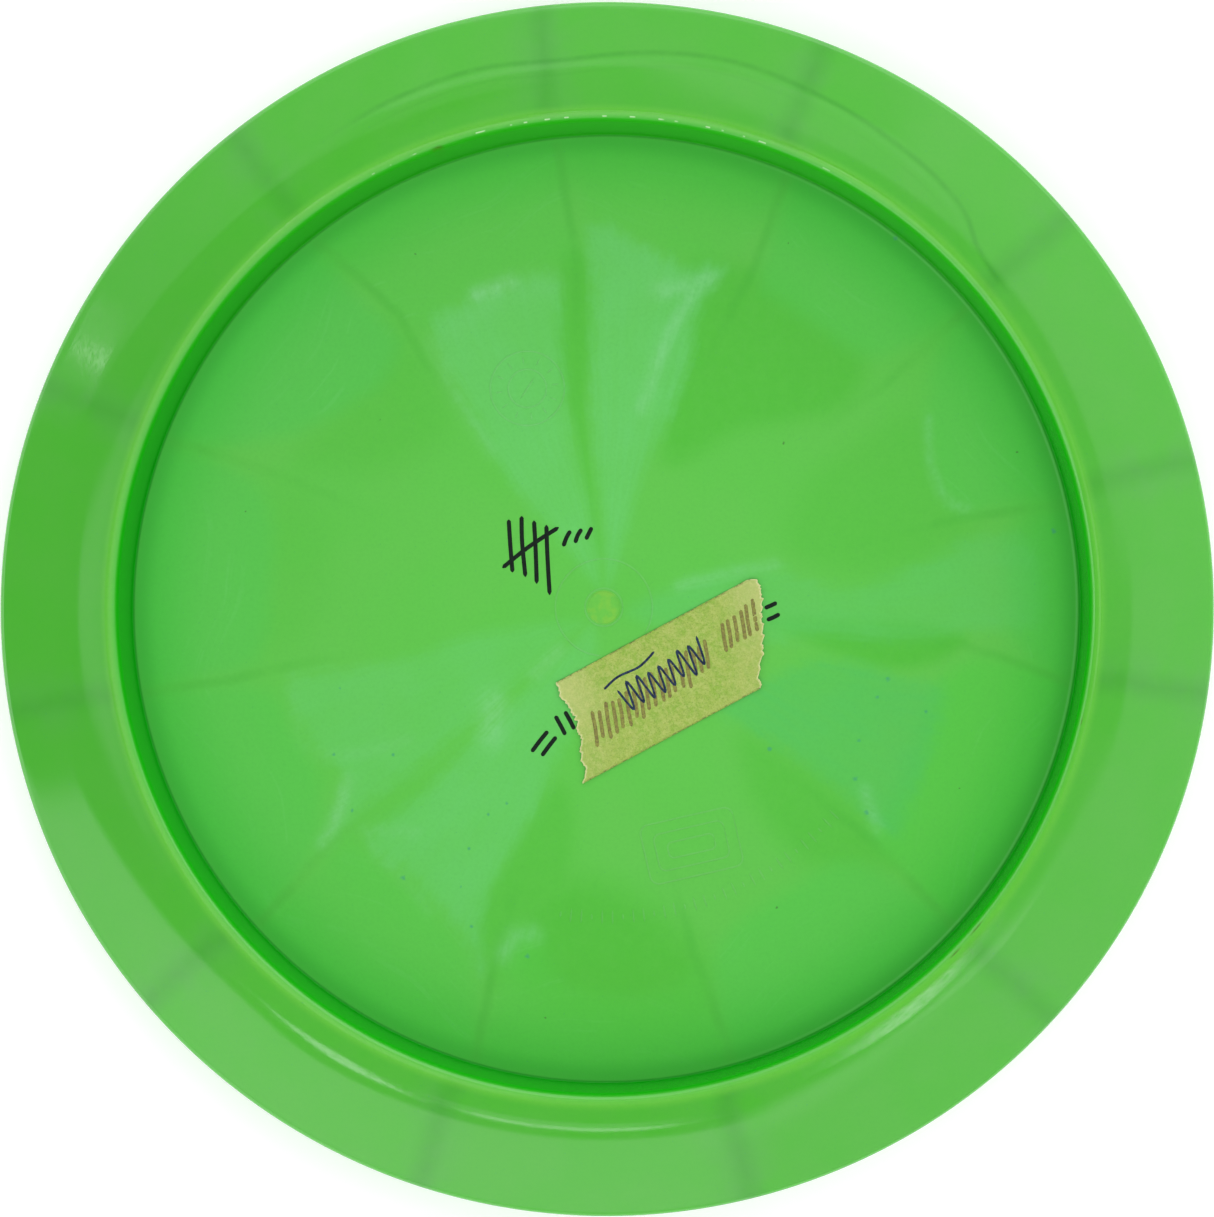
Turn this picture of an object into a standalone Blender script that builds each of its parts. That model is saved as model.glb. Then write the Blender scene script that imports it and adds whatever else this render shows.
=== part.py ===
"""A flying disc for disc golf, lying upside down, with a torn strip of masking tape inside it.

Metres, +Z up. The origin is the centre of the flat that the disc rests on, in the middle of its
domed outer face, so the open underside looks up and the rim's flat lip is the highest part.
"""

import math
import random

import bpy

OBJECT_NAME = "flying_disc"

# The moulding: overall size, flight plate, dome
DISC_RADIUS = 0.1055
DISC_HEIGHT = 0.0173
PLATE_THICKNESS = 0.00195
PLATE_FLAT_RADIUS = 0.037
DOME_ANGLE = math.radians(7.5)
DOME_BEND_RADIUS = 0.320

# The rim: its inner wall, flat lip, sloping wing, blunt nose and the shoulder over the wall
RIM_MOUTH_RADIUS = 0.0837
WALL_ANGLE = math.radians(89.0)
WING_ANGLE = math.radians(20.0)
TOP_ANGLE = math.radians(17.5)
NOSE_BELOW_LIP = 0.0061
NOSE_RADIUS = 0.0016
SHOULDER_BEND_RADIUS = 0.040
LIP_BEND_RADIUS = 0.024
LIP_ROUND_RADIUS = 0.0021
WALL_FOOT_RADIUS = 0.0005

# The witness mark of the moulding gate, a shallow round recess in the middle of the plate
GATE_RADIUS = 0.0030
GATE_DEPTH = 0.0002
GATE_ROUND_RADIUS = 0.00015

# The tape, in its own frame: x along the strip, y across it
TAPE_THICKNESS = 0.00015
TAPE_WIDTH = 0.0180
TAPE_TURN = math.radians(28.2)
TAPE_CENTRE = (0.01106, -0.01306)
TAPE_LEFT_TOP = -0.0174
TAPE_LEFT_BOTTOM = -0.0206
TAPE_RIGHT_TOP = 0.0226
TAPE_RIGHT_BOTTOM = 0.0146
TAPE_CUT_CORNER = 0.0012
TEAR_STEPS = 9
TEAR_DEPTH = 0.00045
TEAR_SEED = 18

TOUCH_GAP = 0.0003
TURN_STEPS = 96
MERGE_DISTANCE = 0.00001

DISC_GREEN = (0.107, 0.546, 0.065, 1.0)
TAPE_YELLOW = (0.49, 0.51, 0.13, 1.0)


def clear_scene():
    for old in list(bpy.data.objects):
        bpy.data.objects.remove(old, do_unlink=True)


def make_material(name, colour, roughness):
    material = bpy.data.materials.new(name)
    material.use_nodes = True
    shader = material.node_tree.nodes["Principled BSDF"]
    shader.inputs["Base Color"].default_value = colour
    shader.inputs["Roughness"].default_value = roughness
    shader.inputs["Metallic"].default_value = 0.0
    return material


def meet(point_a, angle_a, point_b, angle_b):
    """The point where two straight lines cross, each given by one of its points and its angle."""
    ax, ay = math.cos(angle_a), math.sin(angle_a)
    bx, by = math.cos(angle_b), math.sin(angle_b)
    dx, dy = point_b[0] - point_a[0], point_b[1] - point_a[1]
    along_a = (dx * by - dy * bx) / (ax * by - ay * bx)
    return point_a[0] + along_a * ax, point_a[1] + along_a * ay


def arc_at_corner(before, corner, after, radius, pieces):
    """Points of the arc that rounds one corner of an outline, from one tangent point to the next."""
    heading_in = math.atan2(corner[1] - before[1], corner[0] - before[0])
    heading_out = math.atan2(after[1] - corner[1], after[0] - corner[0])
    turn = math.remainder(heading_out - heading_in, math.tau)
    to_centre = heading_in + math.copysign(math.pi / 2, turn)
    setback = radius * math.tan(abs(turn) / 2)
    centre_x = corner[0] - setback * math.cos(heading_in) + radius * math.cos(to_centre)
    centre_y = corner[1] - setback * math.sin(heading_in) + radius * math.sin(to_centre)
    first = to_centre + math.pi
    return [
        (
            centre_x + radius * math.cos(first + turn * step / pieces),
            centre_y + radius * math.sin(first + turn * step / pieces),
        )
        for step in range(pieces + 1)
    ]


def disc_profile():
    """The turned outline: from the axis out along the plate's inside, over the rim, back below."""
    nose_centre = (DISC_RADIUS - NOSE_RADIUS, DISC_HEIGHT - NOSE_BELOW_LIP)
    wing_point = (
        nose_centre[0] + NOSE_RADIUS * math.sin(WING_ANGLE),
        nose_centre[1] + NOSE_RADIUS * math.cos(WING_ANGLE),
    )
    top_point = (
        nose_centre[0] + NOSE_RADIUS * math.sin(TOP_ANGLE),
        nose_centre[1] - NOSE_RADIUS * math.cos(TOP_ANGLE),
    )
    inner_bend_radius = DOME_BEND_RADIUS - PLATE_THICKNESS
    half_dome = math.tan(DOME_ANGLE / 2)
    dome_corner = (PLATE_FLAT_RADIUS + DOME_BEND_RADIUS * half_dome, 0.0)
    inner_corner = (PLATE_FLAT_RADIUS + inner_bend_radius * half_dome, PLATE_THICKNESS)
    lip_edge = (RIM_MOUTH_RADIUS, DISC_HEIGHT)
    gate_floor = PLATE_THICKNESS - GATE_DEPTH

    # each corner: where it is, the radius that rounds it, and the arc's number of pieces
    corners = [
        ((0.0, gate_floor), 0.0, 0),
        ((GATE_RADIUS - GATE_DEPTH, gate_floor), GATE_ROUND_RADIUS, 1),
        ((GATE_RADIUS, PLATE_THICKNESS), GATE_ROUND_RADIUS, 1),
        (inner_corner, inner_bend_radius, 5),
        (meet(inner_corner, DOME_ANGLE, lip_edge, WALL_ANGLE), WALL_FOOT_RADIUS, 3),
        (lip_edge, LIP_ROUND_RADIUS, 4),
        (meet(lip_edge, 0.0, wing_point, -WING_ANGLE), LIP_BEND_RADIUS, 4),
        (meet(wing_point, -WING_ANGLE, top_point, TOP_ANGLE), NOSE_RADIUS, 6),
        (meet(top_point, TOP_ANGLE, dome_corner, DOME_ANGLE), SHOULDER_BEND_RADIUS, 3),
        (dome_corner, DOME_BEND_RADIUS, 5),
        ((0.0, 0.0), 0.0, 0),
    ]
    points = [corners[0][0]]
    for before, (corner, radius, pieces), after in zip(corners, corners[1:], corners[2:]):
        points += arc_at_corner(before[0], corner, after[0], radius, pieces)
    points.append(corners[-1][0])
    return points


def make_disc(collection, material):
    """The whole disc is one moulding: plate and rim are turned together from one outline."""
    points = disc_profile()
    mesh = bpy.data.meshes.new("disc_body")
    edges = [(index, index + 1) for index in range(len(points) - 1)]
    mesh.from_pydata([(radius, 0.0, height) for radius, height in points], edges, [])
    disc = bpy.data.objects.new("disc_body", mesh)
    disc.data.materials.append(material)
    collection.objects.link(disc)
    turn = disc.modifiers.new("turn", "SCREW")
    turn.axis = "Z"
    turn.steps = TURN_STEPS
    turn.render_steps = TURN_STEPS
    turn.use_merge_vertices = True
    turn.merge_threshold = MERGE_DISTANCE
    turn.use_smooth_shade = True
    return disc


def torn_end(start, end, random_source):
    """Points of a hand-torn end of the tape: small uneven steps about the line start to end."""
    run_x, run_y = end[0] - start[0], end[1] - start[1]
    length = math.hypot(run_x, run_y)
    points = [start]
    for step in range(1, TEAR_STEPS):
        along = (step + random_source.uniform(-0.3, 0.3)) / TEAR_STEPS
        side = TEAR_DEPTH * (random_source.uniform(0.4, 1.0) if step % 2 else 0.0)
        points.append(
            (
                start[0] + along * run_x - side * run_y / length,
                start[1] + along * run_y + side * run_x / length,
            )
        )
    points.append(end)
    return points


def make_tape(collection, material):
    """The strip is straight along both sides and torn across both ends."""
    random_source = random.Random(TEAR_SEED)
    edge = TAPE_WIDTH / 2
    right_top = (TAPE_RIGHT_TOP, edge - TAPE_CUT_CORNER)
    outline = torn_end((TAPE_LEFT_TOP, edge), (TAPE_LEFT_BOTTOM, -edge), random_source)
    outline += torn_end((TAPE_RIGHT_BOTTOM, -edge), right_top, random_source)
    outline.append((TAPE_RIGHT_TOP - TAPE_CUT_CORNER, edge))

    curve = bpy.data.curves.new("masking_tape_strip", "CURVE")
    curve.dimensions = "2D"
    curve.fill_mode = "BOTH"
    curve.extrude = TAPE_THICKNESS / 2
    spline = curve.splines.new("POLY")
    spline.points.add(len(outline) - 1)
    for point, (x, y) in zip(spline.points, outline):
        point.co = (x, y, 0.0, 1.0)
    spline.use_cyclic_u = True
    tape = bpy.data.objects.new("masking_tape_strip", curve)
    tape.data.materials.append(material)
    tape.location = (*TAPE_CENTRE, PLATE_THICKNESS + TOUCH_GAP + TAPE_THICKNESS / 2)
    tape.rotation_euler = (0.0, 0.0, TAPE_TURN)
    collection.objects.link(tape)
    return tape


def main():
    clear_scene()
    collection = bpy.data.collections.new(OBJECT_NAME)
    bpy.context.scene.collection.children.link(collection)
    make_disc(collection, make_material("moulded_green_plastic", DISC_GREEN, 0.35))
    make_tape(collection, make_material("crepe_masking_tape", TAPE_YELLOW, 0.85))


main()
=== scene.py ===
"""Looks of the flying disc: a swirled green golf disc, upside down, with a torn strip of tape."""

import math
import random

import bmesh
import bpy
import numpy as np
from mathutils import Matrix, Vector, noise


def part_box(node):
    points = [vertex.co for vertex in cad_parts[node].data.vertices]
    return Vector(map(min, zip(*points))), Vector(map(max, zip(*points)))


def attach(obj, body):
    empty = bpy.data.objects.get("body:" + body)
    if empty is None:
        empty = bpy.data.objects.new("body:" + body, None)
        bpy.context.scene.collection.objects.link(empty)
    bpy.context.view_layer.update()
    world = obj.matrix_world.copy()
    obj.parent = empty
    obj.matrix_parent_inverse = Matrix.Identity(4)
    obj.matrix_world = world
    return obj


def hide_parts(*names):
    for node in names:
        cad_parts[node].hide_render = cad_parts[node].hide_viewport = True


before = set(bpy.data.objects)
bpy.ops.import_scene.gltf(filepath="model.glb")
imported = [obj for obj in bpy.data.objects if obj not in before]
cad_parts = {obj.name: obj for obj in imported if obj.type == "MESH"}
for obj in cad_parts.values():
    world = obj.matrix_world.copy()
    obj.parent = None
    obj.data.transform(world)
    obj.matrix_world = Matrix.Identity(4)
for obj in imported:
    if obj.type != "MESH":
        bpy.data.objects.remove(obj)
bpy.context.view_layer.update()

MM = 0.001
BODY = "root"

# ---------------------------------------------------------------- the disc's outline, in metres

disc_low, disc_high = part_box("disc_body")
DISC_RADIUS = disc_high.x
DISC_HEIGHT = disc_high.z
PLATE_THICKNESS = 1.95 * MM
PLATE_FLAT_RADIUS = 37.0 * MM
DOME_ANGLE = math.radians(7.5)
DOME_BEND_RADIUS = 320.0 * MM
RIM_MOUTH_RADIUS = 83.7 * MM
WALL_ANGLE = math.radians(89.0)
WING_ANGLE = math.radians(20.0)
TOP_ANGLE = math.radians(17.5)
NOSE_BELOW_LIP = 6.1 * MM
NOSE_RADIUS = 1.6 * MM
SHOULDER_BEND_RADIUS = 40.0 * MM
LIP_BEND_RADIUS = 24.0 * MM
LIP_ROUND_RADIUS = 2.1 * MM
WALL_FOOT_RADIUS = 0.5 * MM
GATE_RADIUS = 3.0 * MM
GATE_DEPTH = 0.2 * MM
GATE_ROUND_RADIUS = 0.15 * MM
TURN_SEGMENTS = 384
LONGEST_STEP = 1.2 * MM
OUTER_STEP = 3.6 * MM
PLATE_REACH = 82.0 * MM

# The seams where the melt's twelve tongues met, in degrees about +Z: through the rim, and where
# they wander to on the plate, at its edge and about three quarters of the way out from the gate
SEAM_RIM = (13.8, 39.6, 68.3, 95.9, 128.0, 158.4, 190.1, 221.1, 252.6, 284.3, 317.6, 351.6)
SEAM_EDGE = (12.4, 39.3, 66.8, 95.8, 128.1, 159.0, 190.6, 222.6, 254.3, 286.1, 317.5, 350.7)
SEAM_INNER = (13.9, 38.2, 66.0, 94.6, 125.0, 157.7, 190.9, 221.0, 252.6, 284.6, 318.9, 354.0)
SEAM_RADII = (50.0, 63.0, 82.0, 88.0)


def meet(point_a, angle_a, point_b, angle_b):
    """The point where two straight lines cross, each given by one of its points and its angle."""
    ax, ay = math.cos(angle_a), math.sin(angle_a)
    bx, by = math.cos(angle_b), math.sin(angle_b)
    dx, dy = point_b[0] - point_a[0], point_b[1] - point_a[1]
    along_a = (dx * by - dy * bx) / (ax * by - ay * bx)
    return point_a[0] + along_a * ax, point_a[1] + along_a * ay


def arc_at_corner(before, corner, after, radius, pieces):
    """Points of the arc that rounds one corner of an outline, from one tangent point to the next."""
    heading_in = math.atan2(corner[1] - before[1], corner[0] - before[0])
    heading_out = math.atan2(after[1] - corner[1], after[0] - corner[0])
    turn = math.remainder(heading_out - heading_in, math.tau)
    to_centre = heading_in + math.copysign(math.pi / 2, turn)
    setback = radius * math.tan(abs(turn) / 2)
    centre_x = corner[0] - setback * math.cos(heading_in) + radius * math.cos(to_centre)
    centre_y = corner[1] - setback * math.sin(heading_in) + radius * math.sin(to_centre)
    first = to_centre + math.pi
    return [
        (
            centre_x + radius * math.cos(first + turn * step / pieces),
            centre_y + radius * math.sin(first + turn * step / pieces),
        )
        for step in range(pieces + 1)
    ]


def disc_profile():
    """The turned outline: from the axis out along the plate's inside, over the rim, back below."""
    nose = (DISC_RADIUS - NOSE_RADIUS, DISC_HEIGHT - NOSE_BELOW_LIP)
    wing_point = (
        nose[0] + NOSE_RADIUS * math.sin(WING_ANGLE),
        nose[1] + NOSE_RADIUS * math.cos(WING_ANGLE),
    )
    top_point = (
        nose[0] + NOSE_RADIUS * math.sin(TOP_ANGLE),
        nose[1] - NOSE_RADIUS * math.cos(TOP_ANGLE),
    )
    inner_bend = DOME_BEND_RADIUS - PLATE_THICKNESS
    half_dome = math.tan(DOME_ANGLE / 2)
    dome_corner = (PLATE_FLAT_RADIUS + DOME_BEND_RADIUS * half_dome, 0.0)
    inner_corner = (PLATE_FLAT_RADIUS + inner_bend * half_dome, PLATE_THICKNESS)
    lip_edge = (RIM_MOUTH_RADIUS, DISC_HEIGHT)
    gate_floor = PLATE_THICKNESS - GATE_DEPTH

    # each corner: where it is, the radius that rounds it, and the arc's number of pieces
    corners = [
        ((0.0, gate_floor), 0.0, 0),
        ((GATE_RADIUS - GATE_DEPTH, gate_floor), GATE_ROUND_RADIUS, 3),
        ((GATE_RADIUS, PLATE_THICKNESS), GATE_ROUND_RADIUS, 3),
        (inner_corner, inner_bend, 40),
        (meet(inner_corner, DOME_ANGLE, lip_edge, WALL_ANGLE), WALL_FOOT_RADIUS, 8),
        (lip_edge, LIP_ROUND_RADIUS, 28),
        (meet(lip_edge, 0.0, wing_point, -WING_ANGLE), LIP_BEND_RADIUS, 20),
        (meet(wing_point, -WING_ANGLE, top_point, TOP_ANGLE), NOSE_RADIUS, 16),
        (meet(top_point, TOP_ANGLE, dome_corner, DOME_ANGLE), SHOULDER_BEND_RADIUS, 8),
        (dome_corner, DOME_BEND_RADIUS, 16),
        ((0.0, 0.0), 0.0, 0),
    ]
    points = [corners[0][0]]
    for before, (corner, radius, pieces), after in zip(corners, corners[1:], corners[2:]):
        points += arc_at_corner(before[0], corner, after[0], radius, pieces)
    points.append(corners[-1][0])
    return points


def with_short_steps(points, longest):
    """The same outline with its long straight stretches cut into steps no longer than longest."""
    finer = [points[0]]
    for start, end in zip(points, points[1:]):
        pieces = max(1, math.ceil(math.dist(start, end) / longest))
        for step in range(1, pieces + 1):
            part = step / pieces
            finer.append(
                (start[0] + part * (end[0] - start[0]), start[1] + part * (end[1] - start[1]))
            )
    return finer


outline = disc_profile()
widest = outline.index(max(outline))
PROFILE = with_short_steps(outline[: widest + 1], LONGEST_STEP)
INSIDE = [point for point in PROFILE if point[0] < PLATE_REACH]
PROFILE += with_short_steps(outline[widest:], OUTER_STEP)[1:]


def plate_height(x, y):
    """Height of the plate's inner face, gate recess left out, at a place on the plate."""
    radii = [point[0] for point in INSIDE]
    heights = [max(point[1], PLATE_THICKNESS) for point in INSIDE]
    return float(np.interp(math.hypot(x, y), radii, heights))


# ---------------------------------------------------------------- node trees


class Tree:
    """Short calls that build one node tree."""

    def __init__(self, owner):
        owner.use_nodes = True
        self.tree = owner.node_tree
        self.nodes = self.tree.nodes
        self.links = self.tree.links

    def node(self, kind, inputs=None, **settings):
        made = self.nodes.new(kind)
        for name, value in settings.items():
            setattr(made, name, value)
        for name, value in (inputs or {}).items():
            self.put(made.inputs[name], value)
        return made

    def put(self, socket, value):
        if isinstance(value, bpy.types.NodeSocket):
            self.links.new(value, socket)
        else:
            socket.default_value = value

    def math(self, operation, *values):
        made = self.node("ShaderNodeMath", operation=operation)
        for socket, value in zip(made.inputs, values):
            self.put(socket, value)
        return made.outputs[0]

    def times(self, first, *others):
        for other in others:
            first = self.math("MULTIPLY", first, other)
        return first

    def plus(self, first, *others):
        for other in others:
            first = self.math("ADD", first, other)
        return first

    def minus(self, first, other):
        return self.math("SUBTRACT", first, other)

    def rise(self, value, start, end, low=0.0, high=1.0):
        """A smooth step of value: low before start, high after end."""
        made = self.node("ShaderNodeMapRange", interpolation_type="SMOOTHSTEP")
        for socket, number in zip(made.inputs, (value, start, end, low, high)):
            self.put(socket, number)
        return made.outputs[0]

    def hump(self, value, centre, half_width):
        """1 where value is centre, and smoothly down to 0 at half_width to either side."""
        away = self.math("ABSOLUTE", self.minus(value, centre))
        return self.rise(away, 0.0, half_width, 1.0, 0.0)

    def noise(self, vector, scale, detail=2.0, roughness=0.5):
        inputs = {"Vector": vector, "Scale": scale, "Detail": detail, "Roughness": roughness}
        return self.node("ShaderNodeTexNoise", inputs).outputs[0]

    def field(self, name):
        """A value stored on the mesh's vertices."""
        return self.node("ShaderNodeAttribute", attribute_name=name).outputs["Fac"]

    def vector(self, x, y, z):
        return self.node("ShaderNodeCombineXYZ", {"X": x, "Y": y, "Z": z}).outputs[0]

    def mix(self, amount, colour_a, colour_b):
        made = self.node("ShaderNodeMix", data_type="RGBA", clamp_factor=True)
        for index, value in ((0, amount), (6, colour_a), (7, colour_b)):
            self.put(made.inputs[index], value)
        return made.outputs[2]


def rgb(red, green, blue):
    """A colour given in screen values from 0 to 255, as the linear colour that Blender wants."""
    def linear(value):
        value /= 255.0
        return value / 12.92 if value <= 0.04045 else ((value + 0.055) / 1.055) ** 2.4

    return (linear(red), linear(green), linear(blue), 1.0)


def surface(name, roughness):
    """A new material: its tree, its shader and the place on the object, in millimetres."""
    material = bpy.data.materials.new(name)
    tree = Tree(material)
    shader = tree.nodes["Principled BSDF"]
    shader.inputs["Roughness"].default_value = roughness
    place = tree.node("ShaderNodeTexCoord").outputs["Object"]
    place = tree.node("ShaderNodeVectorMath", {0: place, "Scale": 1000.0}, operation="SCALE").outputs[0]
    return material, tree, shader, place


# ---------------------------------------------------------------- how the melt flowed

# Pale veils in the plate: (strength, how teal, outline), each point (degrees, mm from the gate)
VEILS = (
    (0.90, 0.0, ((92, 68), (82, 64), (77, 62), (70, 64), (72, 55), (70, 43), (73, 26), (73, 15),
            (80, 4), (91, 15), (94, 37), (92, 57))),
    (0.80, 0.0, ((122, 58), (113, 60), (108, 60), (98, 60), (99, 45), (100, 31), (97, 15), (105, 4),
            (124, 14), (127, 25), (125, 38))),
    (0.62, 0.1, ((193, 57), (201, 58), (207, 57), (213, 55), (218, 60), (221, 64), (220, 55),
            (221, 44), (222, 30), (221, 12), (208, 5), (191, 22), (194, 38))),
    (0.80, 0.1, ((224, 58), (232, 59), (239, 60), (247, 63), (252, 69), (249, 58), (249, 49),
            (252, 38), (254, 27), (262, 15), (245, 4), (228, 12), (226, 25), (226, 42))),
    (0.72, 1.0, ((318, 20), (330, 28), (344, 36), (348, 44), (347, 54), (347, 62), (340, 63),
            (330, 64), (321, 65), (322, 53), (321, 40), (316, 26))),
    (0.60, 0.45, ((350, 4), (18, 14), (16, 28), (9, 36), (5, 42), (6, 50), (9, 59), (11, 68),
            (8, 77), (358, 77), (356, 66), (353, 52), (352, 40), (347, 28), (340, 12))),
)

# The tongues' tips beyond the veils: (tint, blueness, inner outline from one seam to the next)
TONGUES = (
    (0.75, 0.6, ((39, 84), (38, 77), (36, 71), (31, 66), (24, 63), (17, 63), (14, 67), (14, 77),
                 (13, 84))),
    (0.80, 0.6, ((66, 84), (66, 71), (64, 63), (59, 62), (52, 62), (45, 63), (41, 67), (40, 77),
                 (40, 84))),
    (0.30, 0.1, ((94, 84), (93, 69), (88, 67), (82, 65), (77, 63), (71, 65), (68, 69), (67, 84))),
    (0.35, 0.2, ((127, 84), (127, 73), (124, 60), (118, 59), (108, 61), (98, 61), (94, 62),
                 (95, 75), (95, 84))),
    (0.85, 0.9, ((129, 84), (128, 72), (127, 62), (129, 58), (135, 56), (143, 58), (151, 63),
                 (157, 73), (159, 84))),
    (0.75, 0.8, ((160, 84), (159, 72), (161, 64), (167, 60), (177, 59), (185, 60), (190, 65),
                 (190, 84))),
    (0.75, 0.6, ((191, 84), (191, 68), (195, 60), (201, 59), (207, 58), (213, 59), (219, 64),
                 (222, 73), (223, 84))),
    (0.60, 0.3, ((223, 84), (222, 73), (222, 63), (225, 60), (232, 60), (240, 61), (247, 64),
                 (252, 70), (254, 84))),
    (0.55, 0.0, ((255, 84), (254, 68), (255, 59), (259, 59), (264, 66), (272, 68), (280, 68),
                 (285, 66), (286, 84))),
    (0.80, 0.5, ((286, 84), (286, 70), (289, 62), (297, 59), (306, 59), (313, 61), (317, 68),
                 (318, 84))),
    (0.85, 0.0, ((318, 84), (318, 69), (320, 61), (326, 60), (334, 60), (342, 59), (349, 61),
                 (353, 69), (351, 84))),
    (0.60, 0.7, ((351, 84), (353, 75), (357, 70), (3, 70), (8, 70), (11, 73), (12, 84))),
)

# Purer, darker green between the veils: (strength, feather in mm, outline)
DEEP_GREEN = (
    (0.8, 1.6, ((97, 62), (93, 62), (92, 50), (95, 36), (96, 24), (95, 12), (97, 12), (99, 30),
                (101, 45))),
    (0.15, 1.6, ((220, 66), (222, 55), (223, 44), (224, 34), (225, 38), (226, 50), (224, 60))),
    (0.7, 2.5, ((252, 68), (247, 60), (249, 46), (252, 34), (260, 34), (263, 48), (260, 60),
                (254, 70))),
    (1.0, 1.8, ((357, 33), (357, 48), (357, 58), (355, 64), (351, 60), (348, 52), (349, 42),
                (354, 30))),
    (0.75, 3.5, ((319, 34), (322, 50), (320, 68), (315, 66), (309, 58), (307, 48), (311, 37))),
    (0.5, 4.0, ((32, 64), (20, 66), (12, 68), (8, 60), (8, 44), (18, 34), (32, 44))),
    (0.9, 3.0, ((76, 62), (64, 66), (54, 64), (44, 64), (40, 54), (52, 40), (64, 28), (72, 34),
                (76, 48))),
    (0.5, 4.0, ((126, 64), (134, 60), (146, 60), (154, 60), (150, 48), (138, 42), (127, 46))),
    (1.0, 5.0, ((254, 60), (262, 72), (276, 76), (286, 72), (283, 58), (264, 48))),
    (0.3, 5.0, ((160, 62), (176, 62), (188, 62), (184, 52), (164, 50))),
)

# Whitish streaks: (strength, half width in mm, path)
STREAKS = (
    (0.65, 1.2, ((73, 60), (75, 55), (77, 47), (79, 36))),
    (0.65, 1.5, ((72, 61), (77, 58), (80, 57))),
    (0.75, 1.4, ((106, 60), (112, 60))),
    (0.12, 2.2, ((99, 58), (108, 58), (118, 56))),
    (0.55, 1.2, ((214, 55), (218, 60), (220, 65))),
    (0.18, 1.0, ((207, 57), (211, 50), (214, 42))),
    (0.55, 2.6, ((221, 26), (229, 30))),
    (0.40, 1.3, ((223, 11), (224, 17))),
    (0.25, 1.0, ((223, 58), (227, 54), (230, 52))),
    (0.15, 1.0, ((226, 59), (233, 60), (240, 62))),
    (0.45, 1.0, ((325, 56), (321, 62))),
    (0.35, 0.8, ((30, 66), (24, 63), (18, 63), (15, 66))),
    (0.45, 1.6, ((254, 64), (255, 60), (258, 59))),
    (0.20, 1.4, ((123, 56), (125, 46), (126, 34))),
    (0.35, 1.2, ((16, 14), (15, 26), (14, 31))),
    (0.10, 1.2, ((193, 57), (203, 59), (208, 57))),
)

# A thin dark flow line in the wing of the rim
FLOW_LINE = (
    (37.0, 87.9), (40.5, 88.2), (43.6, 89.2), (46.6, 91.6), (50.0, 92.9), (55.0, 93.9), (64.0, 95.3),
    (73.5, 96.5), (80.5, 96.5), (87.5, 95.5), (94.0, 94.5), (103.0, 95.3), (112.5, 94.8), (121.0, 93.8),
)

# Specks of pigment and of dirt: (degrees, mm from the gate, half width in mm)
PIGMENT_SPECKS = (
    (208.6, 54.6, 0.4), (215.0, 45.6, 0.4), (218.9, 57.4, 0.4), (233.4, 59.6, 0.6), (240.8, 48.8, 0.35),
    (243.6, 38.8, 0.35), (240.8, 42.0, 0.35), (243.0, 55.5, 0.3), (247.5, 61.0, 0.4), (257.7, 63.0, 0.55),
    (345.8, 51.6, 0.6), (341.8, 50.7, 0.4), (342.0, 59.6, 0.4), (332.3, 50.8, 0.45), (325.7, 53.6, 0.6),
    (322.0, 58.7, 0.6), (319.6, 38.5, 0.6), (197.0, 49.0, 0.3), (9.5, 80.0, 0.6), (51.5, 82.6, 0.5),
)
DIRT_SPECKS = (
    (42.3, 43.0, 0.28), (20.4, 77.5, 0.28), (63.0, 72.0, 0.2), (140.0, 52.0, 0.2), (118.0, 71.0, 0.2),
    (165.0, 66.0, 0.2), (262.0, 73.0, 0.25), (300.0, 61.0, 0.2), (333.0, 70.0, 0.2),
)

# Brownish stains along the lip: (degrees, half length in degrees, mm from the axis, half width in mm)
LIP_STAINS = (
    (109.6, 1.1, 84.0, 0.5), (315.6, 1.3, 84.8, 0.22), (319.4, 1.6, 84.6, 0.22), (346.6, 1.0, 84.5, 0.22),
)


def on_plate(point):
    """A place in millimetres from its angle in degrees and its distance from the gate."""
    angle = math.radians(point[0])
    return point[1] * math.cos(angle), point[1] * math.sin(angle)


def smooth_path(points, closed=False, pieces=5):
    """A Catmull-Rom curve through points, as an array of its points."""
    known = [np.array(point, float) for point in points]
    count = len(known)
    path = []
    for i in range(count if closed else count - 1):
        if closed:
            p0, p1, p2, p3 = (known[(i + k) % count] for k in (-1, 0, 1, 2))
        else:
            p0, p1, p2, p3 = (known[min(max(i + k, 0), count - 1)] for k in (-1, 0, 1, 2))
        for step in range(pieces):
            t = step / pieces
            path.append(
                0.5 * (2 * p1 + (p2 - p0) * t + (2 * p0 - 5 * p1 + 4 * p2 - p3) * t * t
                       + (3 * p1 - 3 * p2 + p3 - p0) * t ** 3)
            )
    path.append(known[0] if closed else known[-1])
    return np.array(path)


def distance_to_path(places, path):
    nearest = np.full(len(places), np.inf)
    for start, end in zip(path, path[1:]):
        along = end - start
        share = np.clip((places - start) @ along / max(along @ along, 1e-9), 0.0, 1.0)
        gap = places - start - share[:, None] * along
        nearest = np.minimum(nearest, np.hypot(gap[:, 0], gap[:, 1]))
    return nearest


def is_inside(places, path):
    """Which places lie inside a closed path, by counting the crossings on a ray along +X."""
    crossings = np.zeros(len(places), int)
    for start, end in zip(path, np.roll(path, -1, axis=0)):
        if start[1] == end[1]:
            continue
        spans = (start[1] > places[:, 1]) != (end[1] > places[:, 1])
        share = (places[:, 1] - start[1]) / (end[1] - start[1])
        crossings += spans & (places[:, 0] < start[0] + share * (end[0] - start[0]))
    return crossings % 2 == 1


def depth_inside(places, path, closed):
    """How far each place lies inside path's closed form, negative outside it."""
    return distance_to_path(places, path) * np.where(is_inside(places, closed), 1.0, -1.0)


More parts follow.
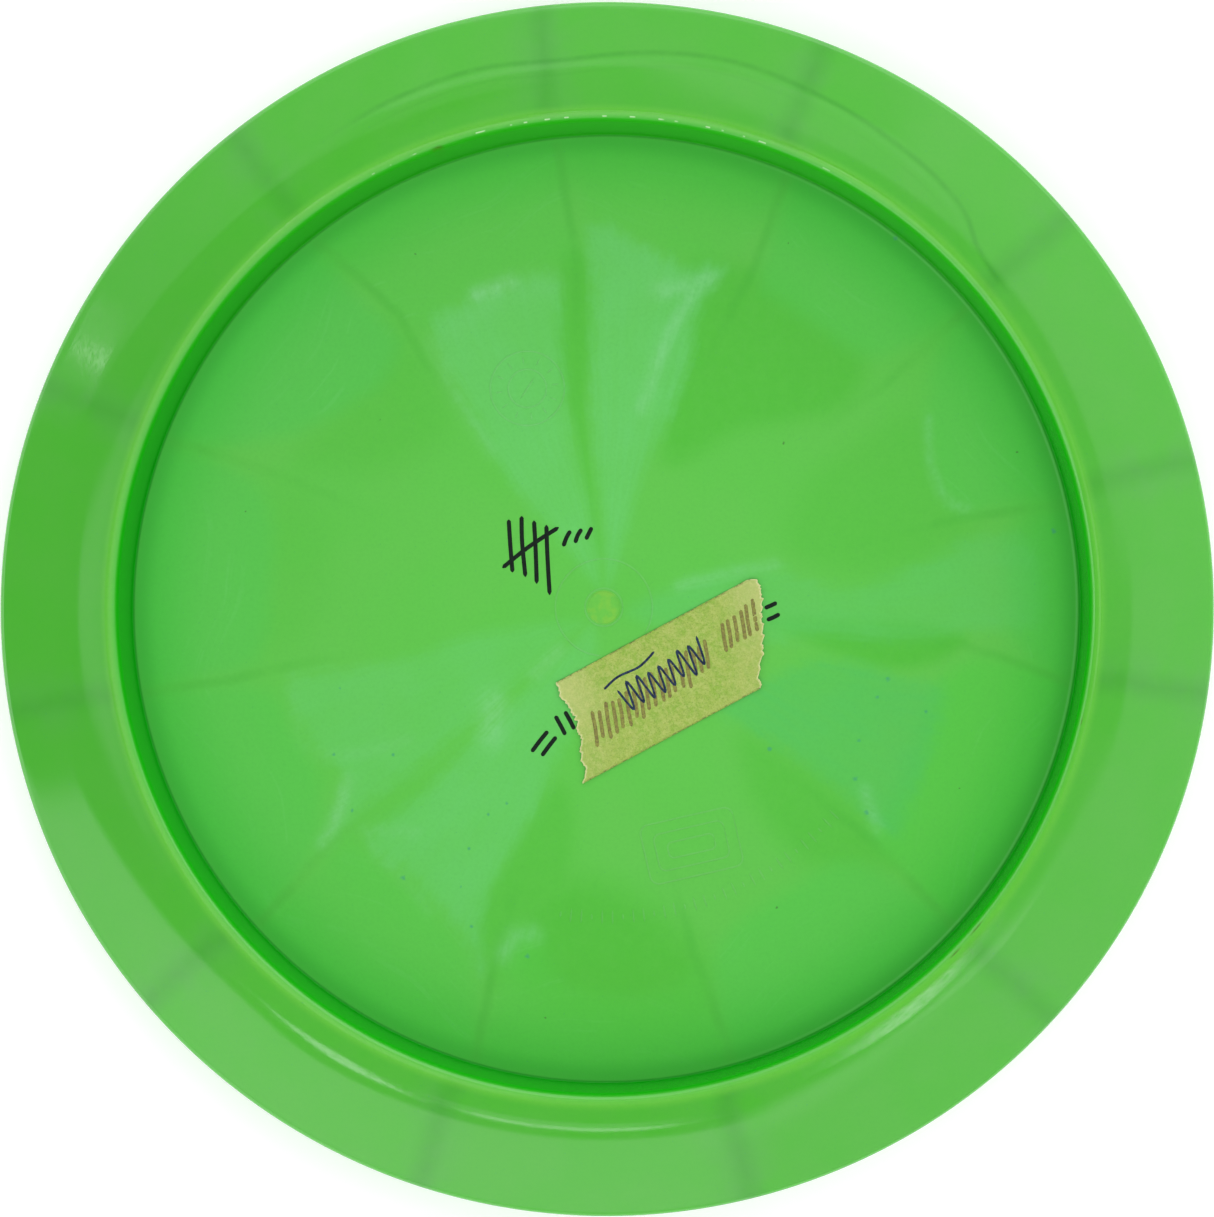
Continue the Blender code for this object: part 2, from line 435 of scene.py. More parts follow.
def radius_and_angle(places):
    """Distances from the gate, and angles about it in degrees from 0 to 360."""
    angle = np.degrees(np.arctan2(places[:, 1], places[:, 0])) % 360.0
    return np.hypot(places[:, 0], places[:, 1]), angle


def smooth_step(value, start, end):
    share = np.clip((value - start) / (end - start), 0.0, 1.0)
    return share * share * (3 - 2 * share)


def veil_field(places):
    """Depth inside the nearest veil in mm, negative outside it, and that veil's tint."""
    depth = np.full(len(places), -12.0)
    level = np.zeros(len(places))
    teal = np.zeros(len(places))
    for strength, tealness, outline in VEILS:
        path = smooth_path([on_plate(point) for point in outline], closed=True)
        gap = depth_inside(places, path, path)
        level = np.where(gap > depth, strength, level)
        teal = np.where(gap > depth, tealness, teal)
        depth = np.maximum(depth, gap)
    return np.clip(depth, -12.0, 12.0), level, teal


def tongue_field(places):
    """The same for the tongues' tips, measured from their inner outlines only."""
    depth = np.full(len(places), -12.0)
    tint = np.zeros(len(places))
    blue = np.zeros(len(places))
    for strength, blueness, outline in TONGUES:
        path = smooth_path([on_plate(point) for point in outline])
        first, last = outline[0][0], outline[-1][0]
        back = [on_plate((last + math.remainder(first - last, 360) * k / 8, 110)) for k in range(9)]
        gap = depth_inside(places, path, np.vstack([path, back]))
        tint = np.where(gap > depth, strength, tint)
        blue = np.where(gap > depth, blueness, blue)
        depth = np.maximum(depth, gap)
    return np.clip(depth, -12.0, 30.0), tint, blue


def seam_bend(places):
    """Degrees to add to a place's angle so that the wandering seams fall on SEAM_RIM."""
    radius, angle = radius_and_angle(places)
    here = [
        np.interp(radius, SEAM_RADII, ((rim + inner) / 2, inner, edge, rim))
        for rim, edge, inner in zip(SEAM_RIM, SEAM_EDGE, SEAM_INNER)
    ]
    bend = np.zeros(len(places))
    for k in range(len(SEAM_RIM)):
        after = (k + 1) % len(SEAM_RIM)
        width = (here[after] - here[k]) % 360.0
        share = ((angle - here[k]) % 360.0) / width
        bend_here = SEAM_RIM[k] - here[k]
        bend_after = SEAM_RIM[after] - here[after]
        bend = np.where(share < 1.0, bend_here + share * (bend_after - bend_here), bend)
    return bend


def store(mesh, name, values):
    layer = mesh.attributes.new(name, "FLOAT", "POINT")
    layer.data.foreach_set("value", np.ascontiguousarray(values, dtype=np.float32))


def paint_flow(mesh):
    """Stores on a mesh's vertices the smooth fields that the plastic's node tree draws from."""
    flat = np.empty(len(mesh.vertices) * 3)
    mesh.vertices.foreach_get("co", flat)
    places = flat.reshape(-1, 3)[:, :2] / MM
    veil, veil_level, veil_teal = veil_field(places)
    tongue, tint, blue = tongue_field(places)
    deep = np.zeros(len(places))
    for strength, feather, outline in DEEP_GREEN:
        path = smooth_path([on_plate(point) for point in outline], closed=True)
        gap = depth_inside(places, path, path)
        deep = np.maximum(deep, strength * smooth_step(gap, -feather, feather))
    streak = np.zeros(len(places))
    for strength, width, path in STREAKS:
        gap = distance_to_path(places, smooth_path([on_plate(point) for point in path]))
        streak = np.maximum(streak, strength * np.exp(-((gap / width) ** 2)))
    radius, angle = radius_and_angle(places)
    flow_path = smooth_path([on_plate(point) for point in FLOW_LINE])
    turns = np.degrees(np.arctan2(flow_path[:, 1], flow_path[:, 0]))
    reaches = np.hypot(flow_path[:, 0], flow_path[:, 1])
    side = np.where(radius > np.interp(angle, turns, reaches), 1.0, -1.0)
    flow_gap = side * distance_to_path(places, flow_path)
    flow_level = smooth_step(angle, 36.0, 41.0) * smooth_step(-angle, -124.0, -112.0)
    fields = {
        "seam_bend": seam_bend(places),
        "veil": veil,
        "veil_level": veil_level,
        "veil_teal": veil_teal,
        "tongue": tongue,
        "tongue_tint": tint,
        "tongue_blue": blue,
        "deep_green": deep,
        "streak": streak,
        "flow_gap": np.clip(flow_gap, -20.0, 20.0),
        "flow_level": flow_level,
    }
    for name, values in fields.items():
        store(mesh, name, values)


# ---------------------------------------------------------------- the swirled green plastic

BASE_GREEN = rgb(86, 191, 62)
DEEP = rgb(72, 184, 42)
VEIL_GREEN = rgb(97, 199, 97)
VEIL_TEAL = rgb(71, 187, 81)
WHITISH = rgb(138, 214, 150)
TONGUE_GREEN = rgb(76, 194, 56)
TONGUE_BLUE = rgb(77, 190, 70)
PIGMENT = rgb(42, 150, 112)
DIRT = rgb(44, 92, 26)
STAIN = rgb(70, 92, 18)


def green_plastic():
    material, tree, shader, place = surface("swirled_green_plastic", 0.3)
    split = tree.node("ShaderNodeSeparateXYZ", {0: place})
    x, y, z = split.outputs[0], split.outputs[1], split.outputs[2]
    radius = tree.math("SQRT", tree.plus(tree.times(x, x), tree.times(y, y)))
    degrees = tree.times(tree.math("ARCTAN2", y, x), 180.0 / math.pi)
    turn = tree.plus(degrees, tree.field("seam_bend"))
    wobble = tree.minus(tree.noise(place, 0.16, 2.0), 0.5)
    turn = tree.plus(turn, tree.math("DIVIDE", tree.times(wobble, 70.0), tree.plus(radius, 12.0)))
    turn = tree.math("WRAP", turn, 360.0, 0.0)
    inner = tree.field("inner")
    plate = tree.rise(radius, 82.0, 83.6, 1.0, 0.0)
    rim = tree.rise(radius, 83.6, 86.0)

    # distance to the nearest seam, in millimetres
    nearest = None
    for angle in SEAM_RIM:
        away = tree.math("WRAP", turn, angle + 180.0, angle - 180.0)
        away = tree.math("ABSOLUTE", tree.minus(away, angle))
        nearest = away if nearest is None else tree.math("MINIMUM", nearest, away)
    across = tree.times(nearest, radius, math.pi / 180.0)

    # the same melt drawn out into streaks, fine across the flow and long along it
    drawn = tree.vector(tree.times(turn, 0.55), tree.times(radius, 0.045), 3.0)
    drawn = tree.noise(drawn, 1.0, 4.0, 0.62)
    cloud = tree.noise(place, 0.09, 3.0, 0.55)
    fringe = tree.noise(place, 0.45, 3.0, 0.6)
    ragged = tree.plus(tree.times(tree.minus(drawn, 0.5), 3.0),
                       tree.times(tree.minus(fringe, 0.5), 3.0))
    ragged = tree.times(ragged, tree.rise(radius, 8.0, 45.0, 0.4, 1.0))

    veil_depth = tree.field("veil")
    veil = tree.rise(tree.plus(veil_depth, ragged), -1.6, 2.6)
    veil = tree.times(veil, tree.field("veil_level"), tree.rise(drawn, 0.28, 0.72, 0.84, 1.08))
    veil = tree.times(veil, tree.rise(cloud, 0.3, 0.7, 0.8, 1.1))

    depth = tree.field("tongue")
    tongue = tree.rise(tree.plus(depth, tree.times(ragged, 0.45)), -2.2, 3.0)
    tongue = tree.times(tongue, tree.field("tongue_tint"), plate)
    arch = tree.minus(radius, tree.rise(across, 0.0, 15.0, 6.0, 0.0))
    lines = tree.vector(tree.times(turn, 0.02), tree.times(arch, 0.95), tree.times(cloud, 2.5))
    lines = tree.noise(lines, 1.0, 2.0, 0.6)
    lines = tree.times(tree.rise(lines, 0.55, 0.70), tree.rise(depth, -0.5, 1.0))
    lines = tree.times(lines, tree.rise(depth, 10.0, 20.0, 1.0, 0.15), plate, inner)
    lines = tree.times(lines, tree.rise(cloud, 0.38, 0.62))

    colour = tree.mix(tree.rise(cloud, 0.3, 0.75, 0.0, 0.35), BASE_GREEN, rgb(90, 192, 69))
    patches = tree.rise(tree.noise(place, 0.05, 1.0), 0.42, 0.62, 0.0, 0.5)
    colour = tree.mix(patches, colour, rgb(91, 190, 67))
    deep = tree.times(tree.field("deep_green"), tree.rise(fringe, 0.2, 0.8, 0.8, 1.1))
    colour = tree.mix(deep, colour, DEEP)
    colour = tree.mix(tongue, colour, tree.mix(tree.field("tongue_blue"), TONGUE_GREEN, TONGUE_BLUE))
    colour = tree.mix(tree.times(lines, 0.11), colour, rgb(118, 206, 120))
    veil_colour = tree.mix(tree.field("veil_teal"), VEIL_GREEN, VEIL_TEAL)
    colour = tree.mix(tree.times(veil, 0.9), colour, veil_colour)
    streak = tree.times(tree.field("streak"), tree.rise(tree.plus(drawn, fringe), 0.7, 1.3, 0.3, 0.7))
    colour = tree.mix(streak, colour, WHITISH)

    # the plate deepens towards the wall, partly a deeper green of the plastic and partly painted shade,
    # and its seams are thin and dark
    deepening_and_shade = tree.times(tree.rise(radius, 68.0, 83.0, 0.0, 0.5), inner)
    colour = tree.mix(deepening_and_shade, colour, rgb(28, 192, 27))
    # painted shade: the plate darker close to the wall
    brink_shade = tree.times(tree.rise(radius, 78.8, 82.4, 0.0, 0.35), inner)
    colour = tree.mix(brink_shade, colour, rgb(6, 158, 20))
    seam = tree.times(tree.rise(across, 0.1, 1.5, 1.0, 0.0), tree.rise(radius, 40.0, 66.0, 0.0, 1.0))
    seam = tree.times(seam, plate, tree.rise(cloud, 0.35, 0.6, 0.3, 1.0))
    colour = tree.mix(tree.times(seam, 0.4), colour, rgb(60, 172, 38))

    # the rim: soft grey bands at the seams, and one thin flow line
    band = tree.plus(across, tree.times(tree.minus(cloud, 0.5), 3.0))
    band = tree.times(tree.rise(band, -0.4, 3.6, 1.0, 0.0), tree.rise(fringe, 0.2, 0.7, 0.7, 1.0))
    haze = tree.times(tree.rise(across, 0.5, 8.0, 1.0, 0.0), tree.rise(cloud, 0.35, 0.65))
    rim_colour = tree.mix(tree.rise(cloud, 0.3, 0.7), rgb(73, 178, 46), rgb(78, 177, 53))
    rim_colour = tree.mix(tree.times(haze, 0.6), rim_colour, rgb(82, 168, 70))
    rim_colour = tree.mix(tree.times(band, 0.36), rim_colour, rgb(54, 142, 44))
    # painted shade: the rim darker towards the west
    from_west = tree.math("WRAP", tree.minus(degrees, 173.0), 180.0, -180.0)
    from_west = tree.math("ABSOLUTE", from_west)
    rim_colour = tree.mix(tree.rise(from_west, 18.0, 60.0, 0.32, 0.0), rim_colour, rgb(58, 150, 36))
    flow = tree.rise(tree.math("ABSOLUTE", tree.field("flow_gap")), 0.0, 0.85, 1.0, 0.0)
    flow = tree.times(flow, tree.field("flow_level"), tree.rise(fringe, 0.3, 0.6, 0.6, 1.0))
    rim_colour = tree.mix(tree.times(flow, 0.4), rim_colour, rgb(46, 142, 34))
    along_flow = tree.times(tree.field("flow_level"), tree.rise(cloud, 0.35, 0.6, 0.4, 1.0), inner)
    glow = tree.times(tree.hump(tree.field("flow_gap"), -1.2, 0.9), along_flow)
    rim_colour = tree.mix(tree.times(glow, 0.16), rim_colour, rgb(96, 190, 82))
    second = tree.times(tree.hump(tree.field("flow_gap"), -2.6, 0.5), along_flow)
    rim_colour = tree.mix(tree.times(second, 0.1), rim_colour, rgb(46, 142, 34))
    colour = tree.mix(rim, colour, rim_colour)

    # the wall painted a dark saturated green as painted shade, painted shade at its foot and crease,
    # painted light on its north side, a painted highlight at the plate's edge, and the lip's edge lighter
    # from wear and painted highlight
    wall = tree.times(tree.rise(radius, 82.9, 83.3), tree.rise(radius, 83.8, 84.3, 1.0, 0.0), inner)
    # painted shade: the inside of the rim is given a dark saturated green
    colour = tree.mix(wall, colour, tree.mix(tree.rise(z, 6.0, 14.0), rgb(4, 158, 8), rgb(8, 165, 2)))
    # painted shade at the foot of the wall
    foot_shade = tree.times(wall, tree.rise(z, 5.8, 7.6, 1.0, 0.0))
    colour = tree.mix(foot_shade, colour, rgb(4, 152, 8))
    # painted light: the wall's north side lighter
    northern_light = tree.times(wall, tree.rise(y, 20.0, 75.0, 0.0, 0.3))
    colour = tree.mix(northern_light, colour, rgb(64, 176, 34))
    # painted highlight: a thin light ring at the plate's edge on the east side
    fillet_highlight = tree.times(tree.hump(radius, 82.75, 0.32), tree.rise(x, 10.0, 60.0), inner)
    colour = tree.mix(tree.times(fillet_highlight, 0.28), colour, rgb(120, 208, 122))
    # painted shade in the crease where the plate meets the wall
    crease_shade = tree.times(tree.hump(radius, 83.25, 0.3), tree.rise(z, 5.9, 6.8, 1.0, 0.0), inner)
    colour = tree.mix(tree.times(crease_shade, 0.25), colour, rgb(0, 120, 14))
    # the lip's rounded edge lighter: partly wear, partly painted highlight
    wear_and_highlight = tree.times(tree.hump(radius, 85.2, 1.6), tree.rise(z, 15.6, 17.0), inner)
    colour = tree.mix(tree.times(wear_and_highlight, 0.45), colour, rgb(114, 199, 66))
    # painted glints: small light dashes along the lip on its north side
    lip_glints = tree.noise(tree.vector(tree.times(degrees, 0.6), 5.0, 0.0), 1.0, 1.0)
    lip_glints = tree.times(tree.rise(lip_glints, 0.56, 0.61), tree.rise(y, 70.0, 81.0), inner)
    lip_glints = tree.times(lip_glints, tree.hump(radius, 84.4, 0.17), tree.rise(z, 16.0, 16.4))
    colour = tree.mix(tree.times(lip_glints, 0.75), colour, rgb(206, 240, 190))
    # painted highlight: the raised moulded marks are lighter
    colour = tree.mix(tree.times(tree.field("raised"), 0.14), colour, rgb(150, 220, 150))
    mottle = tree.rise(tree.noise(place, 0.5, 2.0), 0.42, 0.6)
    gate = tree.times(tree.rise(radius, 2.8, 3.15, 1.0, 0.0), inner)
    gate = tree.times(gate, tree.plus(tree.times(mottle, 0.6), 0.3))
    colour = tree.mix(gate, colour, rgb(118, 194, 56))
    calm = tree.minus(1.0, wall)
    grain = tree.rise(tree.noise(place, 1.6, 3.0, 0.6), 0.35, 0.8, 0.0, 0.12)
    colour = tree.mix(tree.times(grain, calm), colour, rgb(52, 160, 52))
    specks = tree.rise(tree.noise(place, 2.7, 1.0), 0.76, 0.80, 0.0, 0.35)
    colour = tree.mix(tree.times(specks, calm), colour, rgb(30, 140, 96))
    flat_place = tree.vector(x, y, 0.0)
    uneven = tree.times(tree.minus(tree.noise(place, 1.9, 1.0), 0.5), 0.7)
    for tint, spots in ((PIGMENT, PIGMENT_SPECKS), (DIRT, DIRT_SPECKS)):
        cover = 0.0
        for angle, reach, half_width in spots:
            centre = (*on_plate((angle, reach)), 0.0)
            away = tree.node("ShaderNodeVectorMath", {0: flat_place, 1: centre}, operation="DISTANCE")
            away = tree.plus(away.outputs["Value"], uneven)
            spot = tree.rise(away, 0.2 * half_width, half_width, 1.0, 0.0)
            cover = tree.math("MAXIMUM", cover, spot)
        colour = tree.mix(tree.times(cover, inner, 0.65), colour, tint)
    for angle, half_length, reach, half_width in LIP_STAINS:
        off = tree.math("WRAP", tree.minus(degrees, angle), 180.0, -180.0)
        stain = tree.times(tree.hump(off, 0.0, half_length), tree.hump(radius, reach, half_width))
        stain = tree.times(stain, tree.rise(fringe, 0.35, 0.55, 0.4, 1.0), inner, 0.7)
        colour = tree.mix(stain, colour, STAIN)
    tree.put(shader.inputs["Base Color"], colour)

    scuffs = tree.vector(tree.times(degrees, 0.9), tree.times(radius, 1.6), 7.0)
    scuffs = tree.noise(scuffs, 1.0, 3.0, 0.7)
    scuffs = tree.times(tree.rise(scuffs, 0.45, 0.68, 0.0, 0.07), calm)
    rough = tree.plus(tree.rise(radius, 82.5, 84.5, 0.42, 0.05), tree.times(fringe, 0.03), scuffs)
    tree.put(shader.inputs["Roughness"], rough)
    tree.put(shader.inputs["Specular IOR Level"], tree.plus(tree.times(wall, -0.35), 0.5))
    shader.inputs["IOR"].default_value = 1.5
    shader.inputs["Subsurface Weight"].default_value = 0.10
    shader.inputs["Subsurface Radius"].default_value = (0.5, 1.0, 0.4)
    shader.inputs["Subsurface Scale"].default_value = 0.003
    skin = tree.plus(tree.noise(place, 1.1, 3.0, 0.55), tree.times(fringe, 0.6))
    unevenness = tree.rise(radius, 83.6, 85.0, 0.05, 0.012)
    bump = tree.node("ShaderNodeBump", {"Strength": unevenness, "Distance": 0.0004, "Height": skin})
    tree.put(shader.inputs["Normal"], bump.outputs[0])
    return material


# ---------------------------------------------------------------- paper and ink


def tape_paper():
    material, tree, shader, place = surface("crepe_tape_paper", 0.75)
    across = tree.field("tape_v")
    along = tree.field("tape_u")
    creases = tree.vector(tree.times(along, 1.5), tree.times(across, 0.35), 2.0)
    creases = tree.noise(creases, 1.0, 4.0, 0.65)
    mottle = tree.noise(place, 0.42, 3.0, 0.6)
    fibre = tree.noise(place, 1.7, 4.0, 0.7)
    colour = tree.mix(tree.rise(mottle, 0.32, 0.68), rgb(138, 175, 57), rgb(164, 183, 86))
    colour = tree.mix(tree.rise(fibre, 0.4, 0.66, 0.0, 0.6), colour, rgb(184, 196, 112))
    colour = tree.mix(tree.rise(creases, 0.45, 0.7, 0.0, 0.35), colour, rgb(128, 168, 60))
    pores = tree.noise(place, 4.5, 2.0, 0.6)
    colour = tree.mix(tree.rise(pores, 0.48, 0.68, 0.0, 0.5), colour, rgb(112, 142, 40))
    worn = tree.rise(tree.field("tape_end"), 1.0, 9.0, 0.48, 0.0)
    worn = tree.times(worn, tree.rise(across, -6.0, 7.0, 0.3, 1.0))
    colour = tree.mix(worn, colour, rgb(196, 200, 130))
    torn = tree.rise(tree.plus(tree.field("tape_end"), tree.times(fibre, 0.5)), 0.3, 0.75, 0.8, 0.0)
    colour = tree.mix(torn, colour, rgb(218, 218, 158))
    # dirt and painted shadow along both edges of the tape
    edge = tree.minus(TAPE_HALF_WIDTH, tree.math("ABSOLUTE", across))
    grime_and_shadow = tree.times(tree.rise(edge, 0.05, 0.45, 1.0, 0.0), tree.rise(fibre, 0.45, 0.6))
    colour = tree.mix(tree.times(grime_and_shadow, 0.7), colour, rgb(72, 92, 30))
    tree.put(shader.inputs["Base Color"], colour)
    height = tree.plus(tree.times(creases, 0.7), tree.times(fibre, 0.5))
    bump = tree.node("ShaderNodeBump", {"Strength": 0.8, "Distance": 0.0002, "Height": height})
    tree.put(shader.inputs["Normal"], bump.outputs[0])
    tree.put(shader.inputs["Roughness"], tree.rise(mottle, 0.3, 0.7, 0.65, 0.85))
    return material


def ink(name, colour_dense, colour_thin, roughness, grain_scale):
    material, tree, shader, place = surface(name, roughness)
    shader.inputs["Specular IOR Level"].default_value = 0.2
    coverage = tree.noise(place, grain_scale, 3.0, 0.7)
    colour = tree.mix(tree.rise(coverage, 0.35, 0.65), colour_dense, colour_thin)
    tree.put(shader.inputs["Base Color"], colour)
    tree.put(shader.inputs["Roughness"], tree.rise(coverage, 0.3, 0.7, roughness, roughness + 0.15))
    return material


# ---------------------------------------------------------------- meshes


def show(name, mesh, material):
    piece = bpy.data.objects.new(name, mesh)
    bpy.context.scene.collection.objects.link(piece)
    mesh.materials.append(material)
    mesh.shade_smooth()
    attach(piece, BODY)
    return piece


def turned_mesh(name, points, segments):
    """A closed turned mesh from an outline that starts and ends on the axis."""
    rings = np.array(points[1:-1])
    angles = np.arange(segments) * (math.tau / segments)
    around = np.stack([np.cos(angles), np.sin(angles)], 1)
    vertices = np.zeros((len(rings), segments, 3))
    vertices[:, :, :2] = rings[:, None, :1] * around[None]
    vertices[:, :, 2] = rings[:, None, 1]
    poles = np.array([[0.0, 0.0, points[0][1]], [0.0, 0.0, points[-1][1]]])
    first_pole = len(rings) * segments
    index = np.arange(len(rings) * segments).reshape(len(rings), segments)
    after = np.roll(index, -1, axis=1)
    quads = np.stack([index[:-1], index[1:], after[1:], after[:-1]], -1).reshape(-1, 4)
    faces = quads.tolist()
    faces += [[first_pole, index[0, j], after[0, j]] for j in range(segments)]
    faces += [[first_pole + 1, after[-1, j], index[-1, j]] for j in range(segments)]
    mesh = bpy.data.meshes.new(name)
    mesh.from_pydata(np.vstack([vertices.reshape(-1, 3), poles]).tolist(), [], faces)
    mesh.validate()
    return mesh


def inner_side(points, segments):
    """For a turned mesh's vertices: 1 up to the outline's widest point, 0 past it."""
    widest = points.index(max(points))
    flags = [1.0 if index <= widest else 0.0 for index in range(1, len(points) - 1)]
    return np.concatenate([np.repeat(flags, segments), [1.0, 0.0]])


# A bead's section, (across, up) for a half width and a crest of 1, and how its ends narrow
BEAD_SECTION = ((-1.0, 0.0), (-0.72, 0.72), (0.0, 1.0), (0.72, 0.72), (1.0, 0.0), (0.0, -1.0))
NARROWEST_END = 0.06


def add_bead(vertices, faces, path, half_width, crest, sunk, height_at):
    """Adds a low closed bead that follows a path in mm: rounded across, and buried a little."""
    path = np.array(path, float)
    if len(path) < 2:
        return
    sides = np.gradient(path, axis=0)
    sides /= np.maximum(np.hypot(sides[:, 0], sides[:, 1]), 1e-9)[:, None]
    sides = np.stack([-sides[:, 1], sides[:, 0]], 1)
    travelled = np.concatenate([[0.0], np.cumsum(np.hypot(*np.diff(path, axis=0).T))])
    from_end = np.minimum(travelled, travelled[-1] - travelled)
    share = np.clip(from_end / half_width, 0.0, 1.0)
    width = half_width * np.sqrt(np.maximum(1 - (1 - share) ** 2, NARROWEST_END))
    first = len(vertices)
    for place, side, reach in zip(path, sides, width):
        for sideways, rise in BEAD_SECTION:
            spot = place + side * sideways * reach
            lift = rise * crest if rise >= 0 else -sunk
            vertices.append((spot[0] * MM, spot[1] * MM, height_at(spot[0], spot[1]) + lift * MM))
    count = len(BEAD_SECTION)
    for ring in range(len(path) - 1):
        for k in range(count):
            a = first + ring * count + k
            b = first + ring * count + (k + 1) % count
            faces.append((a, b, b + count, a + count))
    last = first + (len(path) - 1) * count
    faces.append(tuple(first + k for k in reversed(range(count))))
    faces.append(tuple(last + k for k in range(count)))


def bead_mesh(name, paths, half_width, crest, sunk, height_at):
    vertices, faces = [], []
    for path in paths:
        add_bead(vertices, faces, path, half_width, crest, sunk, height_at)
    mesh = bpy.data.meshes.new(name)
    mesh.from_pydata(vertices, [], faces)
    mesh.validate()
    recalculate_normals(mesh)
    return mesh


def recalculate_normals(mesh):
    shape = bmesh.new()
    shape.from_mesh(mesh)
    bmesh.ops.recalc_face_normals(shape, faces=shape.faces)
    shape.to_mesh(mesh)
    shape.free()


def inside_height(x, y):
    return plate_height(x * MM, y * MM)


# ---------------------------------------------------------------- the disc

plastic = green_plastic()
disc_mesh = turned_mesh("disc_moulding", PROFILE, TURN_SEGMENTS)
paint_flow(disc_mesh)
store(disc_mesh, "inner", inner_side(PROFILE, TURN_SEGMENTS))
disc = show("disc_moulding", disc_mesh, plastic)
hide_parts("disc_body")


def circle(x, y, radius, start=0.0, end=360.0, step=6.0):
    count = max(4, int(abs(end - start) / step))
    turns = [math.radians(start + (end - start) * k / count) for k in range(count + 1)]
    return [(x + radius * math.cos(t), y + radius * math.sin(t)) for t in turns]


def line(x0, y0, x1, y1, pieces=6):
    return [(x0 + (x1 - x0) * k / pieces, y0 + (y1 - y0) * k / pieces) for k in range(pieces + 1)]


def spoke(x, y, angle, near, far, pieces):
    """A straight line outwards from x, y, from near to far, at an angle in degrees."""
    turn = math.radians(angle)
    c, s = math.cos(turn), math.sin(turn)
    return line(x + near * c, y + near * s, x + far * c, y + far * s, pieces)


def rounded_box(x, y, width, height, corner, tilt):
    """A closed outline of a box with rounded corners, turned by tilt degrees."""
    points = []
    for k, (sx, sy) in enumerate(((1, 1), (-1, 1), (-1, -1), (1, -1))):
        cx, cy = sx * (width / 2 - corner), sy * (height / 2 - corner)
        points += circle(cx, cy, corner, 90.0 * k, 90.0 * k + 90.0, 15.0)
    points.append(points[0])
    turn = math.radians(tilt)
    c, s = math.cos(turn), math.sin(turn)
    return [(x + px * c - py * s, y + px * s + py * c) for px, py in points]


def moulded_marks():
    """Faint raised marks of the mould: rings at the gate, a plain date clock, boxes and bars."""
    clock_x, clock_y = -13.6, 38.9
    paths = [circle(0.0, 0.0, 3.35), circle(0.0, 0.0, 8.6, -31.0, 267.0, 4.0)]
    paths += [circle(clock_x, clock_y, 6.6), circle(clock_x, clock_y, 3.4)]
    paths += [spoke(clock_x, clock_y, 30.0 * k + 8.0, 4.4, 5.7, 3) for k in range(12)]
    paths.append(line(clock_x - 1.2, clock_y - 1.8, clock_x + 1.2, clock_y + 1.8, 4))
    for width, height, corner in ((16.7, 10.6, 1.6), (12.6, 6.6, 1.2), (8.4, 2.8, 0.9)):
        paths.append(rounded_box(15.5, -42.1, width, height, corner, 13.0))
    for k in range(30):
        near, far = (53.5, 55.9) if k % 3 else (54.2, 55.2)
        paths.append(spoke(0.0, 0.0, 262.0 + 56.0 * k / 29, near, far, 4))
    mesh = bead_mesh("moulded_marks", paths, 0.15, 0.035, 0.05, inside_height)
    paint_flow(mesh)
    store(mesh, "raised", np.ones(len(mesh.vertices)))
    store(mesh, "inner", np.ones(len(mesh.vertices)))
    show("moulded_marks", mesh, plastic)


moulded_marks()

# ---------------------------------------------------------------- the tape

TAPE_CENTRE = (11.06, -13.06)
TAPE_TURN = math.radians(28.2)
TAPE_HALF_WIDTH = 9.0
# How far along the tape its torn ends lie, at places across it: (v, u) in mm
TAPE_LEFT = ((-9.0, -21.2), (-4.5, -19.2), (1.2, -17.3), (9.0, -17.5))
TAPE_RIGHT = ((-9.0, 14.2), (-0.5, 18.9), (5.5, 22.1), (8.0, 22.5), (9.0, 20.6))
TAPE_BOTTOM = PLATE_THICKNESS / MM + 0.02
TAPE_THICKNESS = 0.13


def end_of_tape(end, v):
    return float(np.interp(v, *zip(*end)))


def from_tape(u, v):
    """A place on the plate in mm from a place on the tape: u along it, v across it."""
    c, s = math.cos(TAPE_TURN), math.sin(TAPE_TURN)
    return TAPE_CENTRE[0] + u * c - v * s, TAPE_CENTRE[1] + u * s + v * c


def ragged_line(seed, count, depth):
    """A hand tear: offsets that wander in coarse steps, with fine fibres on top."""
    rng = random.Random(seed)
    coarse = [rng.uniform(-1.0, 1.0) for _ in range(11)]
    middle = [rng.uniform(-1.0, 1.0) for _ in range(30)]
    offsets = []
    for k in range(count):
        share = k / (count - 1)
        wave = np.interp(share * 10, range(11), coarse) * 0.65
        wave += np.interp(share * 29, range(30), middle) * 0.4
        wave += rng.uniform(-0.26, 0.26)
        offsets.append(depth * wave)
    return offsets


def tape_lift(u, v, left, right):
    """How far the paper stands off the plate in mm: it lies flat, with its torn ends curling up."""
    lift = 0.05 * noise.noise(Vector((u * 0.5, v * 0.16, 4.0)))
    lift += 0.03 * noise.noise(Vector((u * 1.9, v * 0.5, 9.0)))
    for gap, reach in ((u - left, 0.16), (right - u, 0.20)):
        lift += reach * max(0.0, 1.0 - gap / 3.0) ** 2
    return max(lift + 0.04, 0.0)


